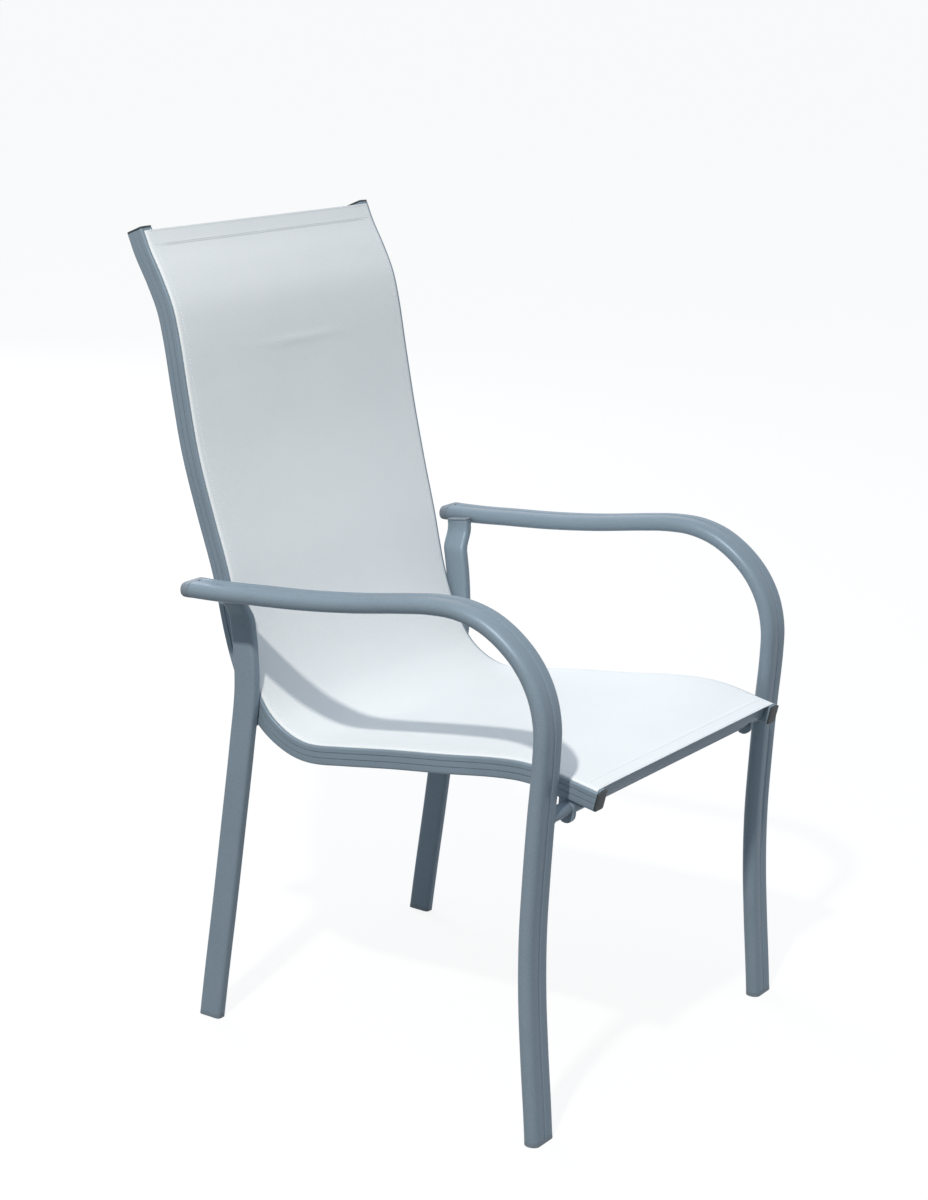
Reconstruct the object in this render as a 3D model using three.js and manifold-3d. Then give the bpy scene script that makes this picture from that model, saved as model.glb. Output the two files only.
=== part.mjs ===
// High-back sling patio chair: two bent side frames, two slotted sling rails and a cloth
// sling held in them. Millimetres, +Z up, the sitter faces -Y, right-hand pieces at -X.
import * as THREE from 'three';
import { mergeVertices } from 'three/addons/utils/BufferGeometryUtils.js';
import Module from 'manifold-3d';

const wasm = await Module();
wasm.setup();

// Overall sizes
const chairHeight = 1000;
const chairDepth = 714;
const armSpacing = 600;
const sideGap = 32;

// Fits between pieces
const seatGap = 0.3;
const slideGap = 0.35;
const cutOverrun = 30;
const weldTolerance = 0.0005;

// Sampling of the bent paths
const longestStep = 90;
const railStep = 75;
const joggleStep = 17;
const turnStep = THREE.MathUtils.degToRad(9);
const pathSamples = 600;

// Arm and front leg: one flat-oval tube, with a shallow channel along its outer face
const armWidth = 47.5;
const armThickness = 19.5;
const armWall = 1.6;
const armChannelWidth = 6;
const armChannelDepth = 0.7;
const armPlugLength = 13;
const armPlugRound = 5;
const armPlugCorner = 9.2;

// Rear leg: one flat-oval tube, joggled outward to the arm at its top
const legThickness = 16;
const legDepth = 32;
const legCorner = 5;
const legWall = 1.6;
const joggleHeight = 34;
const joggleStraight = 15;
const legCapSpigot = 6;

// Sling rail: an extrusion with a hollow chamber and a slotted channel for the sling's edge
const railInboard = 9;
const railOutboard = 11.7;
const railDepth = 25;
const railShoulder = 6.5;
const railCrownFlat = 1;
const railCorner = 3;
const railWall = 1.6;
const channelLip = 2.75;
const railCapThickness = 2.4;
const backFlare = 9;

// Sling cloth and the rods in its edge pockets
const clothThickness = 0.9;
const rodRadius = 1.75;
const slingFrontSetback = 7;
const slingTopSetback = 3.5;

// Cross tubes, spreader bars and the brackets under the rails
const crossTubeRadius = 9;
const crossTubeWall = 1.6;
const frontTubeDrop = 38;
const spreaderHeight = 18;
const spreaderDepth = 20;
const spreaderCorner = 3;
const spreaderWall = 1.5;
const spreaderTopSetback = 45;
const spreaderSpigotRadius = 2.6;
const spreaderSpigotDrop = 3;
const bracketWidth = 22;
const bracketThickness = 5;
const bracketTail = 18.5;
const flangeThickness = 2.5;
const flangeReach = 11;
const flangeTail = 17;
const screwOffset = 20;

// Plugs, glides and fasteners
const plugSpigot = 16;
const glideBase = 5;
const postCapThickness = 2;
const boltRadius = 4;
const boltHeadRadius = 6.5;
const boltHeadHeight = 3.6;
const nutRadius = 5.5;
const nutLength = 9;
const nutFlangeRadius = 7.5;
const nutFlangeThickness = 1;
const screwRadius = 2.4;
const screwHeadRadius = 4.2;
const screwHeadHeight = 2.6;
const screwLength = 12;

// Side view outlines, front to back or foot to end, as shares of chairDepth and chairHeight
const flareShares = [0.545, 0.76];
const railShares = [
  [-0.486, 0.426], [-0.441, 0.4317], [-0.391, 0.4377], [-0.339, 0.4397], [-0.287, 0.4362],
  [-0.184, 0.4237], [-0.081, 0.4122], [0.021, 0.3992], [0.073, 0.3932], [0.102, 0.3937],
  [0.135, 0.4015], [0.1695, 0.418], [0.2015, 0.4485], [0.225, 0.482], [0.2435, 0.5165],
  [0.274, 0.588], [0.309, 0.658], [0.342, 0.729], [0.369, 0.800], [0.395, 0.872],
  [0.412, 0.9075], [0.4375, 0.941], [0.465, 0.972], [0.482, 0.996]
];
const armShares = [
  [-0.476, -0.014], [-0.4665, 0.036], [-0.4515, 0.109], [-0.4385, 0.1815], [-0.4305, 0.2545],
  [-0.428, 0.328], [-0.4275, 0.401], [-0.4285, 0.474], [-0.425, 0.511], [-0.410, 0.5455],
  [-0.3825, 0.5757], [-0.344, 0.6001], [-0.299, 0.6171], [-0.249, 0.6246], [-0.198, 0.6231],
  [-0.147, 0.6171], [-0.046, 0.6031], [0.055, 0.5921], [0.157, 0.5841], [0.200, 0.5806],
  [0.240, 0.578], [0.277, 0.5762]
];
const legShares = [
  [0.2505, -0.014], [0.244, 0.060], [0.234, 0.160], [0.226, 0.250], [0.2155, 0.373],
  [0.2115, 0.446], [0.2195, 0.500], [0.232, 0.545], [0.239, 0.5745]
];

const xAxis = new THREE.Vector3(1, 0, 0);
const rightAngle = Math.PI / 2;

// Materials
const paint = () => new THREE.MeshStandardMaterial({ color: 0x7f8f9c, roughness: 0.36, metalness: 0.35 });
const mouldedPlastic = () => new THREE.MeshStandardMaterial({ color: 0x3f484c, roughness: 0.55 });
const slingCloth = () => new THREE.MeshStandardMaterial({ color: 0xd8dfe4, roughness: 0.85 });
const rodPlastic = () => new THREE.MeshStandardMaterial({ color: 0xc9ccce, roughness: 0.6 });
const platedSteel = () => new THREE.MeshStandardMaterial({ color: 0x9aa0a4, roughness: 0.3, metalness: 0.9 });

// A side-view curve sampled more closely where it turns
class StationPath extends THREE.Curve {
  constructor(shares, step) {
    super();
    this.longestStep = step;
    const points = shares.map(([y, z]) => new THREE.Vector3(0, y * chairDepth, z * chairHeight));
    this.curve = new THREE.CatmullRomCurve3(points, false, 'centripetal');
    this.curve.arcLengthDivisions = pathSamples;
    this.length = this.curve.getLength();
    this.stations = this.placeStations();
    this.steps = this.stations.length - 1;
  }

  placeStations() {
    const effort = [0];
    let before = this.curve.getTangentAt(0);
    for (let i = 1; i <= pathSamples; i += 1) {
      const tangent = this.curve.getTangentAt(i / pathSamples);
      const turned = before.angleTo(tangent) / turnStep;
      effort.push(effort[i - 1] + turned + this.length / pathSamples / this.longestStep);
      before = tangent;
    }
    const steps = Math.ceil(effort[pathSamples]);
    const stations = [0];
    for (let i = 1; i < steps; i += 1) {
      const wanted = (effort[pathSamples] * i) / steps;
      stations.push(effort.findIndex((value) => value >= wanted) / pathSamples);
    }
    stations.push(1);
    return stations;
  }

  shareOf(t) {
    const place = Math.min(Math.max(t, 0), 1) * this.steps;
    const index = Math.min(Math.floor(place), this.steps - 1);
    return THREE.MathUtils.lerp(this.stations[index], this.stations[index + 1], place - index);
  }

  getPoint(t, target) {
    return this.curve.getPointAt(this.shareOf(t), target);
  }

  getPointAt(u, target) {
    return this.getPoint(u, target);
  }

  getTangentAt(u, target) {
    return this.curve.getTangentAt(this.shareOf(u), target);
  }

  // Point, direction and outward normal at a share of the true length
  frameAt(share) {
    const tangent = this.curve.getTangentAt(share);
    const normal = new THREE.Vector3().crossVectors(xAxis, tangent);
    return { point: this.curve.getPointAt(share), tangent, normal, share };
  }

  // Frame at a distance from the start, or from the end where the distance is negative
  frameFrom(distance) {
    const along = distance < 0 ? this.length + distance : distance;
    return this.frameAt(along / this.length);
  }

  // Frame whose point, moved by an offset along the normal, lies nearest to another path
  frameMeeting(offset, other) {
    let best = null;
    let least = Infinity;
    for (let i = 0; i <= pathSamples; i += 1) {
      const frame = this.frameAt(i / pathSamples);
      const moved = offsetPoint(frame, offset);
      for (let j = 0; j <= pathSamples; j += 2) {
        const distance = moved.distanceTo(other.samples()[j]);
        if (distance < least) {
          least = distance;
          best = frame;
        }
      }
    }
    return best;
  }

  samples() {
    if (!this.sampled) {
      this.sampled = this.curve.getSpacedPoints(pathSamples);
    }
    return this.sampled;
  }
}

const offsetPoint = (frame, offset) => frame.point.clone().addScaledVector(frame.normal, offset);

const railPath = new StationPath(railShares, railStep);
const armPath = new StationPath(armShares, longestStep);
const legPath = new StationPath(legShares, joggleStep);

// Derived sizes
const pocketRadius = rodRadius + slideGap;
const sleeveRadius = pocketRadius + clothThickness;
const channelRadius = sleeveRadius + slideGap;
const pocketDrop = channelLip + channelRadius;
const channelCentre = railOutboard - railWall - channelRadius;
const mouthHalf = clothThickness / 2 + slideGap;
const armX = armSpacing / 2;
const railX = armX - armWidth / 2 - sideGap - railOutboard;
const railOuterX = railX + railOutboard;
const railInnerX = railX - railInboard;
const legX = railOuterX + seatGap + legThickness / 2;
const joggle = armX - armWidth / 2 - seatGap - (legX + legThickness / 2);
const chamberTop = -(pocketDrop + channelRadius + railWall);
const chamberMiddle = (chamberTop - railDepth + railWall) / 2;
const spreaderCentreDrop = spreaderHeight / 2;

// Manifold solids to and from three.js geometry
function toSolid(geometry) {
  const bare = geometry.clone();
  bare.deleteAttribute('normal');
  bare.deleteAttribute('uv');
  const merged = mergeVertices(bare, weldTolerance);
  return new wasm.Manifold(new wasm.Mesh({
    numProp: 3,
    vertProperties: new Float32Array(merged.attributes.position.array),
    triVerts: new Uint32Array(merged.index.array)
  }));
}

function toGeometry(solid) {
  const mesh = solid.getMesh();
  const geometry = new THREE.BufferGeometry();
  geometry.setAttribute('position', new THREE.BufferAttribute(new Float32Array(mesh.vertProperties), 3));
  geometry.setIndex(new THREE.BufferAttribute(new Uint32Array(mesh.triVerts), 1));
  geometry.computeVertexNormals();
  return geometry;
}

function mirrored(geometry) {
  const copy = toGeometry(toSolid(geometry));
  copy.scale(-1, 1, 1);
  const index = copy.index.array;
  for (let i = 0; i < index.length; i += 3) {
    const kept = index[i];
    index[i] = index[i + 1];
    index[i + 1] = kept;
  }
  copy.computeVertexNormals();
  return copy;
}

// Points along an arc or a quarter of an ellipse
function arc(x, y, radiusX, radiusY, from, to, parts) {
  return Array.from({ length: parts + 1 }, (_, i) => {
    const angle = from + ((to - from) * i) / parts;
    return new THREE.Vector2(x + radiusX * Math.cos(angle), y + radiusY * Math.sin(angle));
  });
}

const round = (x, y, radius, from, to, parts) => arc(x, y, radius, radius, from, to, parts);

// Sections, drawn with x outboard and y toward the sitter or the outside of the bend
function ovalSection(width, thickness, channelWidth, channelDepth) {
  const radius = thickness / 2;
  const flat = width / 2 - radius;
  const lip = channelWidth / 2;
  const floor = lip - channelDepth;
  return new THREE.Shape([
    ...round(flat, 0, radius, -rightAngle, rightAngle, 6),
    new THREE.Vector2(lip, radius), new THREE.Vector2(floor, radius - channelDepth),
    new THREE.Vector2(-floor, radius - channelDepth), new THREE.Vector2(-lip, radius),
    ...round(-flat, 0, radius, rightAngle, 3 * rightAngle, 6)
  ]);
}

function roundedSection(width, height, corner, parts = 2) {
  const x = width / 2 - corner;
  const y = height / 2 - corner;
  return new THREE.Shape([
    ...round(x, -y, corner, -rightAngle, 0, parts),
    ...round(x, y, corner, 0, rightAngle, parts),
    ...round(-x, y, corner, rightAngle, 2 * rightAngle, parts),
    ...round(-x, -y, corner, 2 * rightAngle, 3 * rightAngle, parts)
  ]);
}

// Bore of a tube: a rectangle with its corners cut, as a hole or as a plug's outline
function boreSection(width, height, cut) {
  const x = width / 2;
  const y = height / 2;
  return new THREE.Shape([
    new THREE.Vector2(cut - x, -y), new THREE.Vector2(x - cut, -y),
    new THREE.Vector2(x, cut - y), new THREE.Vector2(x, y - cut),
    new THREE.Vector2(x - cut, y), new THREE.Vector2(cut - x, y),
    new THREE.Vector2(-x, y - cut), new THREE.Vector2(-x, cut - y)
  ]);
}

const armBore = (gap) => boreSection(
  armWidth - 2 * (armWall + gap), armThickness - 2 * (armWall + gap), armThickness / 4
);
const legBore = (gap) => boreSection(
  legThickness - 2 * (legWall + gap), legDepth - 2 * (legWall + gap), legCorner / 2
);
const spreaderBore = (gap) => boreSection(
  spreaderDepth - 2 * (spreaderWall + gap), spreaderHeight - 2 * (spreaderWall + gap), spreaderCorner / 2
);

// Angle on the rail's rounded crown at a distance outboard of its flat top
const crownAngle = (x) => Math.acos((x - railCrownFlat) / (railOutboard - railCrownFlat));

function railOutline(withChannel) {
  const mouth = Math.asin(mouthHalf / channelRadius);
  const crown = (from, to, parts) => arc(
    railCrownFlat, -railShoulder, railOutboard - railCrownFlat, railShoulder, from, to, parts
  );
  const outer = crownAngle(channelCentre + mouthHalf);
  const inner = crownAngle(channelCentre - mouthHalf);
  const slotted = [
    ...crown(0, outer, 3),
    ...round(channelCentre, -pocketDrop, channelRadius, rightAngle - mouth, mouth - 3 * rightAngle, 8),
    ...crown(inner, rightAngle, 3)
  ];
  const side = railOutboard - railCorner;
  const inside = railCorner - railInboard;
  const low = railCorner - railDepth;
  return new THREE.Shape([
    ...round(side, low, railCorner, -rightAngle, 0, 2),
    ...(withChannel ? slotted : crown(0, rightAngle, 6)),
    new THREE.Vector2(railWall - railInboard, 0), new THREE.Vector2(-railInboard, -railWall),
    ...round(inside, low, railCorner, 2 * rightAngle, 3 * rightAngle, 2)
  ]);
}

// The L-shaped chamber beside and under the channel, shrunk by a gap for what plugs it
function railChamber(gap) {
  const inner = railWall - railInboard + gap;
  const outer = railOutboard - railWall - gap;
  const low = railWall - railDepth + gap;
  const ledge = chamberTop - gap;
  const beside = channelCentre - channelRadius - railWall - gap;
  const high = -railWall - gap;
  return new THREE.Shape([
    new THREE.Vector2(inner, low), new THREE.Vector2(outer, low), new THREE.Vector2(outer, ledge),
    new THREE.Vector2(beside, ledge), new THREE.Vector2(beside, high), new THREE.Vector2(inner, high)
  ]);
}

function hollow(shape, bore) {
  shape.holes.push(new THREE.Path(bore.getPoints()));
  return shape;
}

// Sweeps and placing
const sweep = (shape, path) => new THREE.ExtrudeGeometry(
  shape, { steps: path.steps, extrudePath: path, bevelEnabled: false }
);

const straight = (shape, depth) => new THREE.ExtrudeGeometry(
  shape, { steps: 1, depth, bevelEnabled: false }
);

// Extrusion along a bent path's direction: shape x to the right-hand outboard side
function alongPath(geometry, frame, x) {
  const basis = new THREE.Matrix4().makeBasis(xAxis.clone().negate(), frame.normal, frame.tangent);
  basis.setPosition(-x, frame.point.y, frame.point.z);
  return geometry.applyMatrix4(basis);
}

// Extrusion along X: shape x follows the path, shape y its normal
function acrossPath(geometry, frame, offset, x) {
  const basis = new THREE.Matrix4().makeBasis(frame.tangent, frame.normal, xAxis);
  const place = offsetPoint(frame, offset);
  basis.setPosition(x, place.y, place.z);
  return geometry.applyMatrix4(basis);
}

const axisFrame = (y, z) => ({
  point: new THREE.Vector3(0, y, z),
  tangent: new THREE.Vector3(0, 1, 0),
  normal: new THREE.Vector3(0, 0, 1)
});

// Right-hand tube swept on a path and cut level above its glide
function cutLevel(geometry, height) {
  return toSolid(geometry).trimByPlane([0, 0, 1], height);
}

// A rear leg's top leans outward to lie against the arm
function joggled(geometry, topHeight) {
  const position = geometry.attributes.position;
  const start = topHeight - joggleHeight - joggleStraight;
  for (let i = 0; i < position.count; i += 1) {
    const rise = THREE.MathUtils.smoothstep(position.getZ(i), start, start + joggleHeight);
    position.setX(i, position.getX(i) - joggle * rise);
  }
  return geometry;
}

// The back flares outward toward its top
const flareAt = (z) => {
  const [low, high] = flareShares;
  return backFlare * THREE.MathUtils.smoothstep(z / chairHeight, low, high);
};

function flared(geometry) {
  const position = geometry.attributes.position;
  for (let i = 0; i < position.count; i += 1) {
    const x = position.getX(i);
    position.setX(i, x + Math.sign(x) * flareAt(position.getZ(i)));
  }
  return geometry;
}

// Turned fastener along +X from a head: radius and length pairs drawn as a revolve
function turned(profile) {
  const points = profile.map(([radius, along]) => new THREE.Vector2(radius, along));
  const geometry = new THREE.LatheGeometry(points, 12).rotateZ(-rightAngle);
  return toGeometry(toSolid(geometry));
}

function domedHead(radius, height) {
  return [[0, -height], [radius / 2, -height], [radius - height / 4, -height / 2], [radius, 0]];
}

const pin = (radius, length, x, y, z, sides = 12) => {
  const geometry = new THREE.CylinderGeometry(radius, radius, length, sides);
  geometry.rotateZ(rightAngle);
  geometry.translate(x, y, z);
  return toSolid(geometry);
};

// Where the pieces cross
const boltFrame = railPath.frameMeeting(chamberMiddle, legPath);
const boltPoint = offsetPoint(boltFrame, chamberMiddle);
const rearTubeOffset = -(railDepth + seatGap + crossTubeRadius);
const rearTubeFrame = railPath.frameMeeting(rearTubeOffset, legPath);
const rearTubePoint = offsetPoint(rearTubeFrame, rearTubeOffset);
const frontLegSample = armPath.samples().find((point) => point.z > rearTubePoint.z);
const frontTubeFrame = nearestFrame(railPath, frontLegSample.y);
const frontTubePoint = new THREE.Vector3(
  0, frontLegSample.y, frontTubeFrame.point.z - frontTubeDrop
);
const screwFrame = railPath.frameAt(frontTubeFrame.share - screwOffset / railPath.length);
const frontSpreaderFrame = railPath.frameFrom(slingFrontSetback + spreaderDepth / 2);
const topSpreaderFrame = railPath.frameFrom(-spreaderTopSetback);
const postTop = legShares[legShares.length - 1][1] * chairHeight;

function nearestFrame(path, y) {
  const index = path.samples().findIndex((point) => point.y >= y);
  return path.frameAt(index / pathSamples);
}

// Side frames
function armTube() {
  const outer = ovalSection(armWidth, armThickness, armChannelWidth, armChannelDepth);
  const tube = sweep(hollow(outer, armBore(0)), armPath).translate(-armX, 0, 0);
  return toGeometry(cutLevel(tube, glideBase + seatGap));
}

function rearLeg() {
  const outer = roundedSection(legThickness, legDepth, legCorner);
  const tube = sweep(hollow(outer, legBore(0)), legPath).translate(-legX, 0, 0);
  const cut = cutLevel(joggled(tube, postTop), glideBase + seatGap);
  const nutHole = pin(
    nutRadius + seatGap, legThickness, -legX + legThickness / 2, boltPoint.y, boltPoint.z
  );
  return toGeometry(cut.subtract(nutHole));
}

// A glide: the tube's own outline under its end, with a spigot up its bore
function glide(outer, bore, path, x) {
  const base = toSolid(sweep(outer, path).translate(-x, 0, 0))
    .trimByPlane([0, 0, 1], 0)
    .trimByPlane([0, 0, -1], -glideBase);
  const spigot = toSolid(sweep(bore, path).translate(-x, 0, 0))
    .trimByPlane([0, 0, 1], glideBase / 2)
    .trimByPlane([0, 0, -1], -(glideBase + plugSpigot));
  return toGeometry(base.add(spigot));
}

const frontGlide = () => glide(
  roundedSection(armWidth, armThickness, armThickness / 2 - seatGap), armBore(seatGap), armPath, armX
);
const rearGlide = () => glide(
  roundedSection(legThickness, legDepth, legCorner), legBore(seatGap), legPath, legX
);

// Solid through outlines of equal point count, stacked along Z
function stacked(outlines, heights) {
  const count = outlines[0].length;
  const last = outlines.length - 1;
  const position = [];
  outlines.forEach((outline, level) => outline.forEach(({ x, y }) => position.push(x, y, heights[level])));
  position.push(0, 0, heights[0], 0, 0, heights[last]);
  const bottom = outlines.length * count;
  const index = [];
  for (let i = 0; i < count; i += 1) {
    const next = (i + 1) % count;
    index.push(bottom, next, i, bottom + 1, last * count + i, last * count + next);
    for (let level = 0; level < last; level += 1) {
      const [a, b] = [level * count + i, level * count + next];
      index.push(a, b, b + count, a, b + count, a + count);
    }
  }
  const geometry = new THREE.BufferGeometry();
  geometry.setAttribute('position', new THREE.Float32BufferAttribute(position, 3));
  geometry.setIndex(index);
  return geometry;
}

// The rounded plug in the rear end of an arm
function armPlug() {
  const turns = [0, 1, 2, 3].map((step) => (step * rightAngle) / 4);
  const outlines = turns.map((turn) => {
    const inset = armPlugRound * (1 - Math.cos(turn));
    const [width, thickness] = [armWidth - 2 * inset, armThickness - 2 * inset];
    return roundedSection(width, thickness, armPlugCorner - inset, 4).getPoints();
  });
  const heights = turns.map((turn) => armPlugLength - armPlugRound * (1 - Math.sin(turn)));
  const nose = toSolid(stacked([outlines[0], ...outlines], [seatGap, ...heights]));
  const spigot = straight(armBore(seatGap), plugSpigot + 2 * seatGap).translate(0, 0, -plugSpigot);
  return alongPath(toGeometry(nose.add(toSolid(spigot))), armPath.frameAt(1), armX);
}

// The flat cap on top of a rear leg
function postCap() {
  const plate = straight(roundedSection(legThickness, legDepth, legCorner), postCapThickness);
  const spigot = straight(legBore(seatGap), legCapSpigot + 2 * seatGap).translate(0, 0, -legCapSpigot);
  const cap = toSolid(plate.translate(0, 0, seatGap)).add(toSolid(spigot));
  return alongPath(toGeometry(cap), legPath.frameAt(1), legX + joggle);
}

// Sling rails
function slingRail() {
  const section = hollow(railOutline(true), railChamber(0));
  const rail = toSolid(flared(sweep(section, railPath).translate(-railX, 0, 0)));
  const across = railInboard + railOutboard + cutOverrun;
  const boltHole = pin(boltRadius + slideGap, across, -railX, boltPoint.y, boltPoint.z);
  const holes = [boltHole, spigotHole(frontSpreaderFrame), spigotHole(topSpreaderFrame), screwHole()];
  return toGeometry(holes.reduce((solid, hole) => solid.subtract(hole), rail));
}

function spigotHole(frame) {
  const place = offsetPoint(frame, -spreaderCentreDrop - spreaderSpigotDrop);
  const x = -railInnerX - flareAt(frame.point.z);
  return pin(spreaderSpigotRadius + slideGap, 2 * railWall + seatGap, x, place.y, place.z);
}

function screwHole() {
  const geometry = new THREE.CylinderGeometry(
    screwRadius + slideGap, screwRadius + slideGap, 2 * railWall + seatGap, 12
  );
  return toSolid(placeUnderRail(geometry, 0));
}

// Y-axis piece stood under the rail at the bracket's screw, at a depth below the rail
function placeUnderRail(geometry, below) {
  const { normal, tangent } = screwFrame;
  const basis = new THREE.Matrix4().makeBasis(xAxis, normal, tangent.clone().negate());
  const place = offsetPoint(screwFrame, -(railDepth + below));
  basis.setPosition(-flangeX, place.y, place.z);
  return geometry.applyMatrix4(basis);
}

function railCap(atFront) {
  const plate = straight(railOutline(false), railCapThickness);
  const spigot = straight(railChamber(seatGap), plugSpigot);
  const outward = atFront ? -(railCapThickness + seatGap) : seatGap;
  const inward = atFront ? -railCapThickness : railCapThickness - plugSpigot;
  const cap = toSolid(plate.translate(0, 0, outward)).add(toSolid(spigot.translate(0, 0, inward)));
  const frame = railPath.frameAt(atFront ? 0 : 1);
  return alongPath(toGeometry(cap), frame, railX + flareAt(frame.point.z));
}

// Six corners round a rod pocket
const ring = (x, radius) => round(x, -pocketDrop, radius, 0, 4 * rightAngle, 6).slice(1);

// Sling: a flat web over both rails with a rod pocket hanging from each side edge
function slingSection() {
  const reach = railX + channelCentre;
  const half = clothThickness / 2;
  const neck = Math.asin(half / sleeveRadius);
  const high = seatGap + clothThickness;
  const sleeve = (x) => round(x, -pocketDrop, sleeveRadius, rightAngle + neck, 5 * rightAngle - neck, 8);
  const shape = new THREE.Shape([
    new THREE.Vector2(half - reach, seatGap), new THREE.Vector2(reach - half, seatGap),
    ...sleeve(reach), new THREE.Vector2(reach + half, high),
    new THREE.Vector2(-reach - half, high), ...sleeve(-reach)
  ]);
  for (const side of [-1, 1]) {
    shape.holes.push(new THREE.Path(ring(side * reach, pocketRadius)));
  }
  return shape;
}

function between(geometry, from, to) {
  return toSolid(geometry)
    .trimByPlane(from.tangent.toArray(), from.tangent.dot(from.point))
    .trimByPlane(to.tangent.clone().negate().toArray(), -to.tangent.dot(to.point));
}

const slingSpan = (geometry) => toGeometry(between(
  flared(geometry), railPath.frameFrom(slingFrontSetback), railPath.frameFrom(-slingTopSetback)
));

const sling = () => slingSpan(sweep(slingSection(), railPath));

function edgeRod() {
  const section = new THREE.Shape(ring(railX + channelCentre, rodRadius));
  return slingSpan(sweep(section, railPath));
}

// Cross tubes
function crossTube(point, halfLength) {
  const shape = new THREE.Shape(round(0, 0, crossTubeRadius, 0, 4 * rightAngle, 20).slice(1));
  const bore = round(0, 0, crossTubeRadius - crossTubeWall, 0, 4 * rightAngle, 12).slice(1);
  shape.holes.push(new THREE.Path(bore));
  return acrossPath(straight(shape, 2 * halfLength), axisFrame(point.y, point.z), 0, -halfLength);
}

// The front tube's ends are coped round the legs' inner edges
function frontTube() {
  const cope = toSolid(sweep(
    ovalSection(armWidth + 2 * seatGap, armThickness + 2 * seatGap, armChannelWidth, 0), armPath
  ));
  const tube = toSolid(crossTube(frontTubePoint, armX - armWidth / 2 + armThickness / 4));
  return toGeometry(tube.subtract(cope.translate([-armX, 0, 0])).subtract(cope.translate([armX, 0, 0])));
}

const rearTube = () => crossTube(rearTubePoint, railOuterX);

// Spreader bars between the rails, with a plug and spigot in each end
const spreaderReach = (frame) => (
  railInnerX + flareAt(frame.point.z) - 2 * seatGap - postCapThickness
);

function spreaderBar(frame) {
  const section = hollow(roundedSection(spreaderDepth, spreaderHeight, spreaderCorner), spreaderBore(0));
  const reach = spreaderReach(frame);
  return acrossPath(straight(section, 2 * reach), frame, -spreaderCentreDrop, -reach);
}

function spreaderPlug(frame) {
  const start = -railInnerX - flareAt(frame.point.z) + seatGap;
  const collar = straight(roundedSection(spreaderDepth, spreaderHeight, spreaderCorner), postCapThickness)
    .translate(0, 0, start);
  const body = straight(spreaderBore(seatGap), plugSpigot).translate(0, 0, start);
  const spigot = new THREE.CylinderGeometry(
    spreaderSpigotRadius, spreaderSpigotRadius, 2 * railWall, 12
  );
  spigot.rotateX(rightAngle).translate(0, -spreaderSpigotDrop, start);
  const solid = toSolid(collar).add(toSolid(body)).add(toSolid(spigot));
  return acrossPath(toGeometry(solid), frame, -spreaderCentreDrop, 0);
}

// Bracket that carries a rail on the front tube: an upright plate round the tube, and a
// flange that follows the rail's underside forward to its screw
const bracketX = railX + bracketThickness;
const flangeX = bracketX - bracketThickness / 2 - flangeReach / 2;

function bracketPlate() {
  const underside = -(railDepth + seatGap);
  const rise = offsetPoint(frontTubeFrame, underside).z - frontTubePoint.z;
  const half = bracketWidth / 2;
  const top = rise + bracketWidth;
  const shape = new THREE.Shape([
    new THREE.Vector2(half, top), new THREE.Vector2(-half, top),
    ...round(0, half - bracketTail, half, 2 * rightAngle, 4 * rightAngle, 8)
  ]);
  const plate = acrossPath(
    straight(shape, bracketThickness), axisFrame(frontTubePoint.y, frontTubePoint.z), 0,
    -bracketX - bracketThickness / 2
  );
  const under = frontTubeFrame.normal.clone().negate();
  return toSolid(plate).trimByPlane(under.toArray(), under.dot(offsetPoint(frontTubeFrame, underside)));
}

function bracketFlange() {
  const outer = bracketX + bracketThickness / 2 - railX;
  const inner = outer - bracketThickness - flangeReach;
  const high = -(railDepth + seatGap);
  const low = high - flangeThickness;
  const strip = sweep(new THREE.Shape([
    new THREE.Vector2(inner, low), new THREE.Vector2(outer, low),
    new THREE.Vector2(outer, high), new THREE.Vector2(inner, high)
  ]), railPath).translate(-railX, 0, 0);
  const half = bracketWidth / 2 / railPath.length;
  const front = railPath.frameAt(frontTubeFrame.share - half - flangeTail / railPath.length);
  return between(strip, front, railPath.frameAt(frontTubeFrame.share + half));
}

function railBracket() {
  const bore = pin(
    crossTubeRadius + slideGap, cutOverrun, -bracketX, frontTubePoint.y, frontTubePoint.z, 20
  );
  const screwBore = new THREE.CylinderGeometry(
    screwRadius + slideGap, screwRadius + slideGap, 2 * bracketWidth, 12
  );
  return toGeometry(
    bracketPlate().add(bracketFlange()).subtract(bore).subtract(toSolid(placeUnderRail(screwBore, 0)))
  );
}

// Fasteners
function railBolt() {
  const reach = railOuterX - railInnerX + 2 * seatGap + nutLength;
  const bolt = turned([
    ...domedHead(boltHeadRadius, boltHeadHeight), [boltRadius, 0], [boltRadius, reach], [0, reach]
  ]);
  bolt.rotateZ(2 * rightAngle);
  return bolt.translate(-railInnerX + seatGap, boltPoint.y, boltPoint.z);
}

function rivetNut() {
  const bore = boltRadius + seatGap;
  const start = legX - legThickness / 2 + legWall;
  const nut = turned([
    [bore, 0], [nutFlangeRadius, 0], [nutFlangeRadius, nutFlangeThickness], [nutRadius, nutFlangeThickness],
    [nutRadius, nutLength], [bore, nutLength], [bore, 0]
  ]);
  nut.rotateZ(2 * rightAngle);
  return nut.translate(-start - seatGap, boltPoint.y, boltPoint.z);
}

function bracketScrew() {
  const screw = turned([
    ...domedHead(screwHeadRadius, screwHeadHeight),
    [screwRadius, 0], [screwRadius, screwLength], [0, screwLength]
  ]).rotateZ(rightAngle);
  return placeUnderRail(screw, flangeThickness + 2 * seatGap);
}

const chair = new THREE.Group();

function piece(name, geometry, material) {
  const mesh = new THREE.Mesh(geometry, material);
  mesh.name = name;
  chair.add(mesh);
}

// Right-hand piece as drawn and its mirror image on the left
function pair(name, geometry, material) {
  piece(`${name}_right`, geometry, material());
  piece(`${name}_left`, mirrored(geometry), material());
}

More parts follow.
